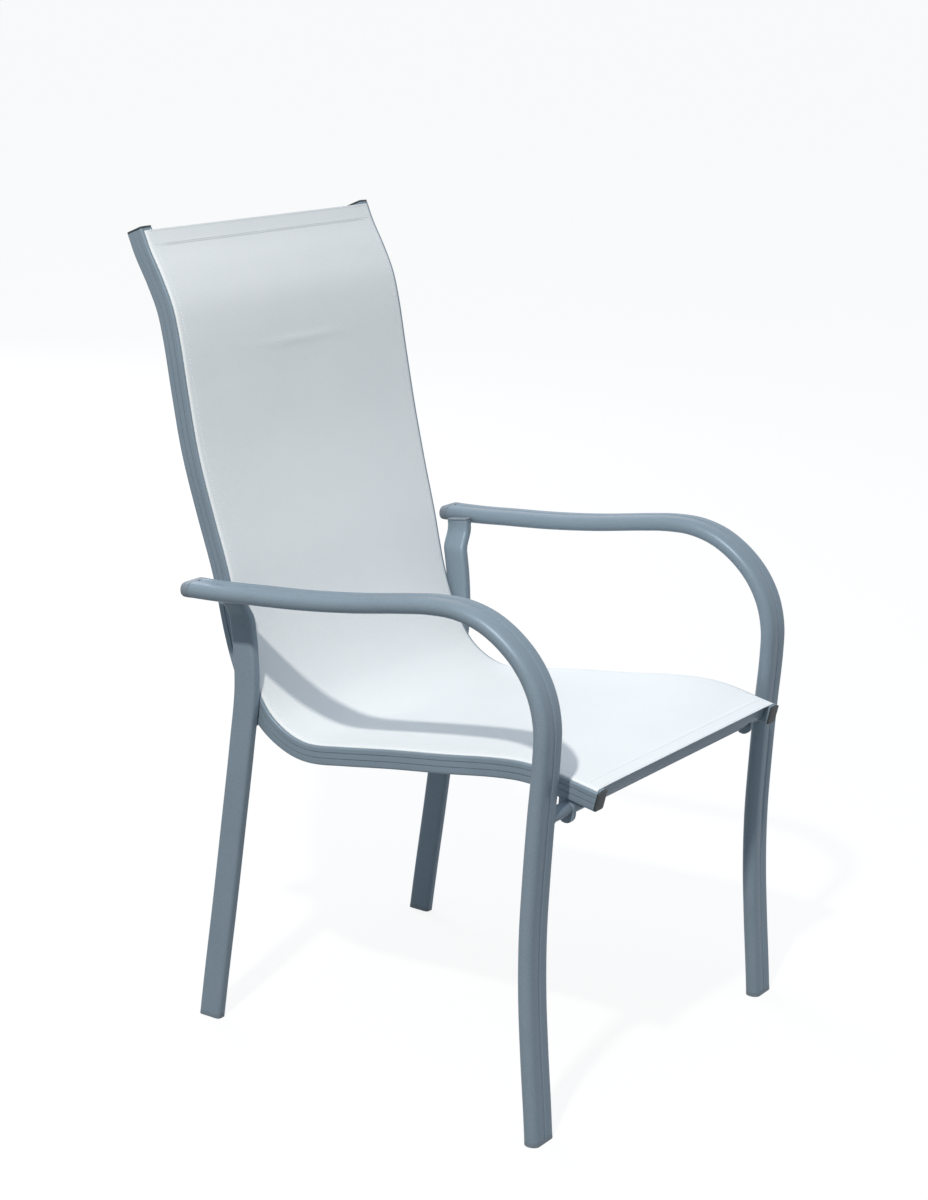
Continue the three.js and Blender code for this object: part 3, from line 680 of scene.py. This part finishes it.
def cut(mesh, z, keep_above):
    """The mesh on one side of a level, closed there."""
    made = bmesh.new()
    made.from_mesh(mesh)
    halves = {"clear_inner": keep_above, "clear_outer": not keep_above}
    result = bmesh.ops.bisect_plane(
        made, geom=[*made.verts, *made.edges, *made.faces], plane_co=(0, 0, z * MM),
        plane_no=(0, 0, 1), **halves,
    )
    edges = [e for e in result["geom_cut"] if isinstance(e, bmesh.types.BMEdge)]
    bmesh.ops.edgeloop_fill(made, edges=edges)
    made.to_mesh(mesh)
    made.free()
    return mesh


def bevelled(mesh, width, degrees=40, segments=3):
    carrier = bpy.data.objects.new("bevel", mesh)
    scene.collection.objects.link(carrier)
    modifier = carrier.modifiers.new("edges", "BEVEL")
    modifier.width = width * MM
    modifier.segments = segments
    modifier.limit_method = "ANGLE"
    modifier.angle_limit = math.radians(degrees)
    return plain_mesh(carrier)


def add_piece(name, mesh, finish, nodes=()):
    mesh.name = name
    mesh.materials.clear()
    mesh.materials.append(finish)
    made = bpy.data.objects.new(name, mesh)
    scene.collection.objects.link(made)
    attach(made, "root")
    if nodes:
        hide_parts(*nodes)
    return made


def add_pair(name, mesh, finish, node=None):
    """The right-hand piece and its mirror image on the left."""
    for side, sign in SIDES.items():
        own = mesh.copy()
        if sign > 0:
            own.transform(Matrix.Scale(-1, 4, (1, 0, 0)))
            own.flip_normals()
        add_piece(f"{name}_{side}", own, finish, [f"{node}_{side}"] if node else ())


# Side frames
def arm_tube():
    mesh = move(swept_mesh("arm", oval_section(), arm_path.points()), ARM_X)
    return smoothed(cut(mesh, GLIDE_BASE + SEAT_GAP, True))


def joggled(mesh):
    """The leg's top leans outward to lie against the arm."""
    start = LEG_SHARES[-1][1] * CHAIR_HEIGHT - JOGGLE_HEIGHT - JOGGLE_STRAIGHT
    for vertex in mesh.vertices:
        vertex.co.x -= LEG_LEAN * MM * ease(vertex.co.z / MM, start, start + JOGGLE_HEIGHT)
    return mesh


def rear_leg_tube():
    section = rounded(LEG_THICKNESS, LEG_DEPTH, LEG_CORNER)
    mesh = move(swept_mesh("leg", section, leg_path.points()), LEG_X)
    return smoothed(joggled(cut(mesh, GLIDE_BASE + SEAT_GAP, True)))


def glide(section, path, x):
    mesh = move(swept_mesh("glide", section, path.points()), x)
    return smoothed(bevelled(cut(cut(mesh, 0, True), GLIDE_BASE, False), GLIDE_EDGE))


def end_frame(path, distance, outward):
    """Matrix at a point of a right-hand path: x outboard, y to the sitter's side, z outward."""
    point, tangent, normal = path.at(distance)
    matrix = Matrix((Vector((-outward, 0, 0)), normal, tangent * outward)).transposed().to_4x4()
    matrix.translation = point * MM
    return matrix


def lofted(rings):
    """Rings of equal count joined up and closed, in millimetres."""
    made = bmesh.new()
    rows = [[made.verts.new(Vector(p) * MM) for p in ring] for ring in rings]
    count = len(rings[0])
    for low, high in zip(rows, rows[1:]):
        for i in range(count):
            j = (i + 1) % count
            made.faces.new((low[i], low[j], high[j], high[i]))
    made.faces.new(reversed(rows[0]))
    made.faces.new(rows[-1])
    mesh = bpy.data.meshes.new("loft")
    made.to_mesh(mesh)
    made.free()
    return mesh


def arm_plug():
    """Rounded plug: its edge rolls over in a quarter turn."""
    rings = [[(x, y, SEAT_GAP) for x, y in rounded(ARM_WIDTH, ARM_THICKNESS, ARM_PLUG_CORNER, 8)]]
    for step in range(PLUG_PARTS + 1):
        turn = step * QUARTER / PLUG_PARTS
        inset = ARM_PLUG_ROUND * (1 - math.cos(turn))
        height = ARM_PLUG_LENGTH - ARM_PLUG_ROUND * (1 - math.sin(turn))
        width, thickness = ARM_WIDTH - 2 * inset, ARM_THICKNESS - 2 * inset
        outline = rounded(width, thickness, ARM_PLUG_CORNER - inset, 8)
        rings.append([(x, y, height) for x, y in outline])
    mesh = lofted(rings)
    mesh.transform(end_frame(arm_path, arm_path.length, 1))
    return smoothed(move(mesh, ARM_X))


def plate(section, thickness, path, distance, outward, x, edge):
    """Cap plate across the end of a tube or rail, with its edges rounded."""
    rings = [[(px, py, z) for px, py in section] for z in (SEAT_GAP, SEAT_GAP + thickness)]
    if outward < 0:
        rings = [[(-px, py, z) for px, py, z in ring] for ring in rings]
    mesh = lofted(rings)
    mesh.transform(end_frame(path, distance, outward))
    return smoothed(move(bevelled(mesh, edge), x))


add_pair("arm_tube", arm_tube(), coat, "arm_and_front_leg")
add_pair("rear_leg_tube", rear_leg_tube(), coat, "rear_leg")
arm_outline = rounded(ARM_WIDTH, ARM_THICKNESS, ARM_THICKNESS / 2 - SEAT_GAP, 10)
leg_outline = rounded(LEG_THICKNESS, LEG_DEPTH, LEG_CORNER)
leg_cap = plate(
    leg_outline, LEG_CAP_THICKNESS, leg_path, leg_path.length, 1, LEG_X + LEG_LEAN, LEG_CAP_EDGE,
)
add_pair(
    "front_foot", glide(arm_outline, arm_path, ARM_X), grey_nylon, "front_glide",
)
add_pair(
    "rear_foot", glide(leg_outline, leg_path, LEG_X), grey_nylon, "rear_glide",
)
add_pair("arm_end_plug", arm_plug(), grey_nylon, "arm_plug")
add_pair("leg_top_plate", leg_cap, grey_nylon, "rear_leg_cap")

# Rails
rail_mesh = smoothed(flared(move(swept_mesh("rail", rail_section(), rail_path.points()), RAIL_X)))
add_pair("sling_rail_extrusion", rail_mesh, coat, "sling_rail")
front_cap, top_cap = (
    plate(rail_end_section(), RAIL_CAP_THICKNESS, rail_path, distance, outward, RAIL_X, RAIL_CAP_EDGE)
    for distance, outward in ((0, -1), (rail_path.length, 1))
)
add_pair("rail_front_end", front_cap, nylon, "rail_front_cap")
add_pair("rail_top_end", flared(top_cap), nylon, "rail_top_cap")


# Cross tubes and spreaders
def straight_tube(section, y, z, angle, reach):
    """A bar across the chair; its section's x axis is turned from +Y by the angle."""
    turned = [
        (a * math.cos(angle) - b * math.sin(angle), a * math.sin(angle) + b * math.cos(angle))
        for a, b in section
    ]
    rings = [[(x, y + a, z + b) for a, b in turned] for x in (-reach, reach)]
    return smoothed(move(lofted(rings)))


def middle(node):
    """Middle of a crosswise node in the side view, and its reach to the side."""
    low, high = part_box(node)
    centre = (low + high) / 2 / MM
    return centre.y - SHIFT, centre.z, high.x / MM


round_section = arc(0, 0, TUBE_RADIUS, TUBE_RADIUS, 0, FULL, 48)[:-1]
for node in ("front_cross_tube", "rear_cross_tube"):
    y, z, reach = middle(node)
    tube = straight_tube(round_section, y, z, 0, reach)
    add_piece(f"{node}_round", tube, coat, [node])

bar_section = rounded(SPREADER_WIDTH, SPREADER_HEIGHT, SPREADER_CORNER)
for node, place in zip(("front_spreader_bar", "top_spreader_bar"), SPREADER_PLACES):
    y, z, reach = middle(node)
    tangent = rail_path.at(place % rail_path.length)[1]
    bar = straight_tube(bar_section, y, z, math.atan2(tangent.z, tangent.y), reach)
    add_piece(f"{node}_coated", bar, coat, [node])


# Sling
sling_front, sling_top = SLING_FRONT_SETBACK, rail_path.length - SLING_TOP_SETBACK
fold_along = rail_path.reaching(FOLD_HEIGHT)


def hem_rows():
    """Distances of the cloth's rows along the rail, close together at the hems and the fold."""
    front, top = sling_front, sling_top
    rows = {front, top}
    for edge in (front + FRONT_HEM, top - TOP_HEM):
        rows.update((edge - HEM_SLOPE, edge, edge + HEM_SLOPE))
    rows.update(fold_along + FOLD_WIDTH * i / 2 for i in range(-4, 5))
    steps = math.ceil((top - front) / ROW_SPACING)
    spread = [front + (top - front) * i / steps for i in range(1, steps)]
    rows.update(d for d in spread if all(abs(d - r) > ROWS_APART for r in rows))
    return sorted(rows)


# The cloth over a rail, inboard to outboard of the rail's middle: across, and off the crown line
EDGE_FALL = [
    (-9, 0.75), (-6, 0.72), (POCKET_SEAM - 0.7, 0.68), (POCKET_SEAM, 0.66), (POCKET_SEAM + 0.7, 0.64),
    (0, 0.6), (1.5, 0.56), (3, 0.44), (4.0, 0.28), (4.8, 0.06), (5.4, -0.2), (5.85, -0.55),
    (6.15, -1.0), (6.3, -1.5), (6.38, -2.1), (6.4, -2.7), (6.4, -3.3),
]
SPAN = [i / HALF_SPAN_PARTS - 1 for i in range(1, 2 * HALF_SPAN_PARTS)]


def cloth_sag(share):
    """Slack in the middle of the cloth: one hollow in the seat and one in the back."""
    seat = SEAT_SAG * math.sin(math.pi * min(share / BEND_SHARE, 1)) ** 2
    return seat + BACK_SAG * math.sin(math.pi * max((share - BEND_SHARE) / (1 - BEND_SHARE), 0)) ** 2


def fold_lift(x, distance):
    """A faint soft fold left across the back."""
    across = (x - FOLD_X) / FOLD_REACH
    along = (distance - fold_along) / FOLD_WIDTH
    return FOLD_LIFT * math.exp(-across ** 2 - along ** 2)


def cloth_row(distance):
    """Places across the cloth at a distance along the rail: x, lift off the crown, flat x."""
    point = rail_path.at(distance)[0]
    inner = RAIL_INNER + flare_at(point.z)
    share = (distance - sling_front) / (sling_top - sling_front)
    front_edge, top_edge = sling_front + FRONT_HEM, sling_top - TOP_HEM
    hem = max(
        1 - ease(distance, front_edge, front_edge + HEM_SLOPE),
        ease(distance, top_edge, top_edge + HEM_SLOPE),
    )
    sag = cloth_sag(share)
    rim = [(inner + RAIL_INBOARD + a, b) for a, b in EDGE_FALL]
    row = [(-a, b) for a, b in reversed(rim)]
    for s in SPAN:
        step = HEM_STEP * hem * min(1, HEM_FADE * (1 - abs(s)))
        lift = CLOTH_LIFT + step - sag * (1 - s * s) + fold_lift(inner * s, distance)
        row.append((inner * s, lift))
    row += rim
    flat = [0.0]
    for (a, b), (c, d) in zip(row, row[1:]):
        flat.append(flat[-1] + math.hypot(c - a, d - b))
    return [(x, lift, f - flat[-1] / 2) for (x, lift), f in zip(row, flat)]


def on_cloth(x, distance, lift=0.0):
    """A point on the cloth, in metres, at a place across it and along the rail."""
    point, _, normal = rail_path.at(distance)
    row = cloth_row(distance)
    height = next(
        b + (d - b) * (x - a) / (c - a)
        for (a, b, _), (c, d, _) in zip(row, row[1:]) if a <= x <= c and c > a
    )
    place = point + normal * (height + lift)
    return Vector((x, place.y + SHIFT, place.z)) * MM


def sling_mesh():
    made = bmesh.new()
    uv = made.loops.layers.uv.new("cloth")
    grid, places = [], {}
    for distance in hem_rows():
        point, _, normal = rail_path.at(distance)
        line = []
        for x, lift, flat in cloth_row(distance):
            place = point + normal * lift
            vertex = made.verts.new(Vector((x, place.y + SHIFT, place.z)) * MM)
            places[vertex] = (flat * MM, distance * MM)
            line.append(vertex)
        grid.append(line)
    for low, high in zip(grid, grid[1:]):
        for a, b, c, d in zip(low, low[1:], high[1:], high):
            face = made.faces.new((a, b, c, d))
            for loop in face.loops:
                loop[uv].uv = places[loop.vert]
    mesh = bpy.data.meshes.new("sling")
    made.to_mesh(mesh)
    made.free()
    carrier = bpy.data.objects.new("sling_flat", mesh)
    scene.collection.objects.link(carrier)
    solid = carrier.modifiers.new("thickness", "SOLIDIFY")
    solid.thickness = CLOTH * MM
    solid.offset = 0
    done = plain_mesh(carrier)
    done.shade_smooth()
    done.set_sharp_from_angle(angle=math.radians(CLOTH_SHARP_DEGREES))
    return done


sling = add_piece("sling_cloth", sling_mesh(), weave, ["sling"])


# Stitches and welds
def bead_row(name, points, pitch, size, finish):
    line = curve_object("row", points, False)
    mesh = run_tree(name, beading, {
        "Path": line, "Pitch": pitch * MM, "Size": Vector(size) * MM, "Finish": finish,
    })
    bpy.data.objects.remove(line)
    return mesh


def joined(meshes):
    made = bmesh.new()
    for mesh in meshes:
        made.from_mesh(mesh)
    whole = bpy.data.meshes.new("joined")
    made.to_mesh(whole)
    made.free()
    whole.shade_smooth()
    return whole


def cross_seam(distance):
    """Stitch row from side to side of the cloth."""
    reach = RAIL_X + flare_at(rail_path.at(distance)[0].z) + POCKET_SEAM
    parts = range(-CROSS_SEAM_PARTS, CROSS_SEAM_PARTS + 1)
    return [on_cloth(reach * i / CROSS_SEAM_PARTS, distance, STITCH_LIFT) for i in parts]


def pocket_seam(side):
    """Stitch row beside a rail, which closes the pocket for the rod."""
    line = []
    for i in range(POCKET_SEAM_PARTS + 1):
        distance = sling_front + (sling_top - sling_front) * i / POCKET_SEAM_PARTS
        x = RAIL_X + flare_at(rail_path.at(distance)[0].z) + POCKET_SEAM
        line.append(on_cloth(side * x, distance, STITCH_LIFT))
    return line


seams = [
    cross_seam(sling_top - EDGE_MARGIN), cross_seam(sling_top - TOP_HEM + HEM_MARGIN),
    cross_seam(sling_front + EDGE_MARGIN), cross_seam(sling_front + FRONT_HEM - HEM_MARGIN),
    pocket_seam(-1), pocket_seam(1),
]
stitch_rows = [bead_row("stitches", seam, STITCH_PITCH, STITCH, thread) for seam in seams]
stitches = add_piece("sling_stitching", joined(stitch_rows), thread)
widths = [2 * cloth_row(d)[-1][2] for d in hem_rows()]


def ring_weld(x, y, z, start, end, saddle=0.0):
    """Weld round a tube's end, in millimetres; a saddle radius bends it round another tube."""
    line = []
    for i in range(RING_PARTS + 1):
        turn = start + (end - start) * i / RING_PARTS
        a, b = TUBE_RADIUS * math.sin(turn), TUBE_RADIUS * math.cos(turn)
        reach = x + (saddle - math.sqrt(saddle ** 2 - a ** 2) if saddle else 0)
        line.append(Vector((-reach, y + a + SHIFT, z + b)) * MM)
    return line


def leg_weld():
    """Weld along the arm's lower inner edge, where the rear leg's top lies against it."""
    top = leg_path.at(leg_path.length)[0]
    x, y, z = -(ARM_X - ARM_WIDTH / 2 + LEG_WELD_OUT), top.y + SHIFT, top.z - LEG_WELD_DROP
    return [Vector((x, y + s, z)) * MM for s in (-LEG_WELD_REACH, 0, LEG_WELD_REACH)]


front_y, front_z, _ = middle("front_cross_tube")
rear_y, rear_z, _ = middle("rear_cross_tube")
bracket_side = -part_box("rail_bracket_right")[0].x / MM
rear_weld_x = RAIL_X + RAIL_OUTBOARD + REAR_WELD_OUT
welds = [
    ring_weld(ARM_X - ARM_WIDTH / 2, front_y, front_z, 0, FULL, ARM_THICKNESS / 2),
    ring_weld(bracket_side + BRACKET_WELD_OUT, front_y, front_z, 0, FULL),
    ring_weld(rear_weld_x, rear_y, rear_z, REAR_WELD_GAP, FULL - REAR_WELD_GAP),
    leg_weld(),
]
weld_mesh = joined([bead_row("weld", line, BEAD_PITCH, BEAD, coat) for line in welds])
add_pair("weld_beads", weld_mesh, coat)

# CAD pieces kept as they are
FINISHES = {
    "edge_rod": rod_vinyl, "rail_bracket": coat, "rail_bolt": zinc, "rivet_nut": zinc,
    "bracket_screw": zinc,
}
for name, node in frame["nodes"].items():
    finish = next((f for start, f in FINISHES.items() if name.startswith(start)), nylon)
    node.data.materials.clear()
    node.data.materials.append(finish)


# Stage, metres
FLOOR_REACH = 60
FLOOR_DROP = 0.0004
FLOOR_WHITE = 0.88
SKY_STRENGTHS = (0.12, 1.1)
# Each lamp's place, watts, size and tint
LAMPS = {
    "key": ((-3.4, -0.8, 4.1), 193, 0.2, "fffaf2"),
    "rear_fill": ((1.9, 3.6, 1.9), 85, 2.2, "f6f9ff"),
}
AIM = Vector((0, 0, 0.5))


def seen_white(tree, shader, amount):
    """White for the camera and for what glossy surfaces mirror; the shader lights the rest."""
    rays = add(tree, "ShaderNodeLightPath")
    first = add(tree, "ShaderNodeMath", {
        0: rays.outputs["Is Camera Ray"], 1: rays.outputs["Is Glossy Ray"],
    }, operation="MAXIMUM")
    any_ray = add(tree, "ShaderNodeMath", {
        0: first, 1: rays.outputs["Is Transmission Ray"],
    }, operation="MAXIMUM")
    share = add(tree, "ShaderNodeMath", {0: any_ray, 1: amount}, operation="MULTIPLY")
    white = add(tree, "ShaderNodeEmission", {"Color": (1, 1, 1, 1), "Strength": 1.0})
    return add(tree, "ShaderNodeMixShader", {0: share, 1: shader, 2: white})


def floor():
    """White for the camera, with the chair's soft shadow; the light it returns is mid grey."""
    mesh = bpy.data.meshes.new("floor")
    corners = [(x * FLOOR_REACH, y * FLOOR_REACH, 0) for x, y in ((-1, -1), (1, -1), (1, 1), (-1, 1))]
    mesh.from_pydata(corners, [], [(0, 1, 2, 3)])
    made, tree, shader = material("pale_floor", Roughness=0.9)
    seen = add(tree, "ShaderNodeLightPath").outputs["Is Camera Ray"]
    shade = add(tree, "ShaderNodeMix", {
        0: seen, 6: colour("75797a"), 7: colour("f4f5f6"),
    }, data_type="RGBA")
    tree.links.new(shade.outputs[2], shader.inputs["Base Color"])
    both = seen_white(tree, shader.outputs[0], FLOOR_WHITE)
    tree.links.new(both.outputs[0], tree.nodes["Material Output"].inputs[0])
    mesh.materials.append(made)
    made_floor = bpy.data.objects.new("floor", mesh)
    made_floor.location.z = -FLOOR_DROP
    scene.collection.objects.link(made_floor)


def lamp(name, place, power, size, tint):
    """Square area lamp aimed at the middle of the chair."""
    light = bpy.data.lights.new(name, "AREA")
    light.energy = power
    light.size = size
    light.color = colour(tint)[:3]
    made = bpy.data.objects.new(name, light)
    scene.collection.objects.link(made)
    made.location = place
    made.rotation_euler = (AIM - Vector(place)).to_track_quat("-Z", "Y").to_euler()


def world():
    """Slightly blue sky light, strongest from straight above."""
    low, high = SKY_STRENGTHS
    made = bpy.data.worlds.new("studio")
    scene.world = made
    made.use_nodes = True
    tree = made.node_tree
    tree.nodes.clear()
    way = add(tree, "ShaderNodeTexCoord").outputs["Generated"]
    height = add(tree, "ShaderNodeSeparateXYZ", {0: way}).outputs["Z"]
    power = add(tree, "ShaderNodeMapRange", {0: height, 1: 0.0, 2: 1.0, 3: low, 4: high})
    soft = add(tree, "ShaderNodeBackground", {"Color": colour("dfe8f4"), "Strength": power})
    add(tree, "ShaderNodeOutputWorld", {0: seen_white(tree, soft.outputs[0], 1.0)})


floor()
for name, values in LAMPS.items():
    lamp(name, *values)
world()
